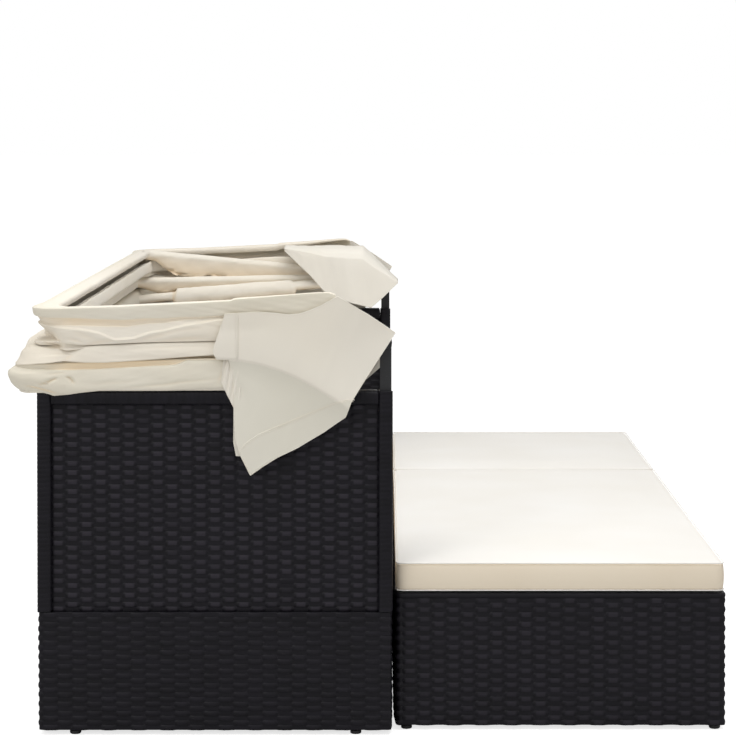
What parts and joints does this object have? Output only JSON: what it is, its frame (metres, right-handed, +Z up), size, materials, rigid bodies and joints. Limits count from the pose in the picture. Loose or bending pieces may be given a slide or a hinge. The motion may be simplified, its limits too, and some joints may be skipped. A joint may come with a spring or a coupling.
{
  "type": "outdoor daybed with canopy",
  "caption": "Woven outdoor daybed: a high-sided sofa with a footstool that completes the bed, loose cushions, and a cloth canopy on bows that fold back onto the arms.",
  "frame": {"origin": "under the middle of the whole object's box, at floor level", "axes": "+X is the way the sofa faces, +Y is its left along the back, +Z is up"},
  "size_m": [1.357, 1.9484, 0.829],
  "materials": {
    "rattan": "satin flat woven ribbon",
    "coated_steel": "satin powder coat",
    "bow_tube": "satin",
    "knuckle_plastic": "fine grain",
    "bolt_steel": "zinc plated",
    "glide_plastic": "moulded",
    "cushion_cloth": "plain weave, matt",
    "canopy_cloth": "thin plain weave, matt"
  },
  "bodies": {
    "sofa": {"right_side_frame": "rattan", "left_side_frame": "rattan", "right_side_weave": "rattan", "left_side_weave": "rattan", "right_skirt_weave": "rattan", "left_skirt_weave": "rattan", "back_frame": "rattan", "back_weave": "rattan", "back_skirt_weave": "rattan", "seat_front_weave": "rattan", "seat_frame": "coated_steel", "seat_legs": "coated_steel", "right_rear_frame_bolt": "bolt_steel", "left_rear_frame_bolt": "bolt_steel", "right_front_frame_bolt": "bolt_steel", "left_front_frame_bolt": "bolt_steel", "right_canopy_post": "rattan", "left_canopy_post": "rattan", "right_pivot_bolt": "bolt_steel", "left_pivot_bolt": "bolt_steel", "right_pivot_nut": "bolt_steel", "left_pivot_nut": "bolt_steel", "sofa_glide_1": "glide_plastic", "sofa_glide_2": "glide_plastic", "sofa_glide_3": "glide_plastic", "sofa_glide_4": "glide_plastic", "sofa_glide_5": "glide_plastic", "sofa_glide_6": "glide_plastic", "seat_cushion_long": "cushion_cloth", "seat_cushion_short": "cushion_cloth"},
    "rear_bow": {"rear_bow_tube": "bow_tube", "right_rear_knuckle": "knuckle_plastic", "left_rear_knuckle": "knuckle_plastic", "rear_fold": "canopy_cloth", "right_flap": "canopy_cloth", "left_flap": "canopy_cloth"},
    "middle_bow": {"middle_bow_tube": "bow_tube", "right_middle_knuckle": "knuckle_plastic", "left_middle_knuckle": "knuckle_plastic", "middle_fold": "canopy_cloth"},
    "front_bow": {"front_bow_tube": "bow_tube", "right_front_knuckle": "knuckle_plastic", "left_front_knuckle": "knuckle_plastic", "front_fold": "canopy_cloth", "right_inner_flap": "canopy_cloth", "left_inner_flap": "canopy_cloth"},
    "footstool": {"footstool_frame": "coated_steel", "footstool_front_weave": "rattan", "footstool_back_weave": "rattan", "footstool_right_weave": "rattan", "footstool_left_weave": "rattan", "footstool_glide_1": "glide_plastic", "footstool_glide_2": "glide_plastic", "footstool_glide_3": "glide_plastic", "footstool_glide_4": "glide_plastic", "footstool_glide_5": "glide_plastic", "footstool_glide_6": "glide_plastic", "footstool_cushion_long": "cushion_cloth", "footstool_cushion_short": "cushion_cloth"}
  },
  "joints": [
    {"name": "rear_pivot", "type": "hinge", "parent": "sofa", "child": "rear_bow", "pos_m": [0.031, 0, 0.736], "axis": [0, 1, 0], "range_deg": [0, 22]},
    {"name": "middle_pivot", "type": "hinge", "parent": "rear_bow", "child": "middle_bow", "pos_m": [0.031, 0, 0.736], "axis": [0, 1, 0], "range_deg": [0, 26]},
    {"name": "front_pivot", "type": "hinge", "parent": "middle_bow", "child": "front_bow", "pos_m": [0.031, 0, 0.736], "axis": [0, 1, 0], "range_deg": [0, 26]},
    {"name": "footstool_slide", "type": "slide", "parent": "sofa", "child": "footstool", "axis": [1, 0, 0], "range_m": [0, 0.6]}
  ],
  "couplings": [
    {"joint": "middle_pivot", "follows": "rear_pivot", "ratio": 1.1818},
    {"joint": "front_pivot", "follows": "rear_pivot", "ratio": 1.1818}
  ]
}
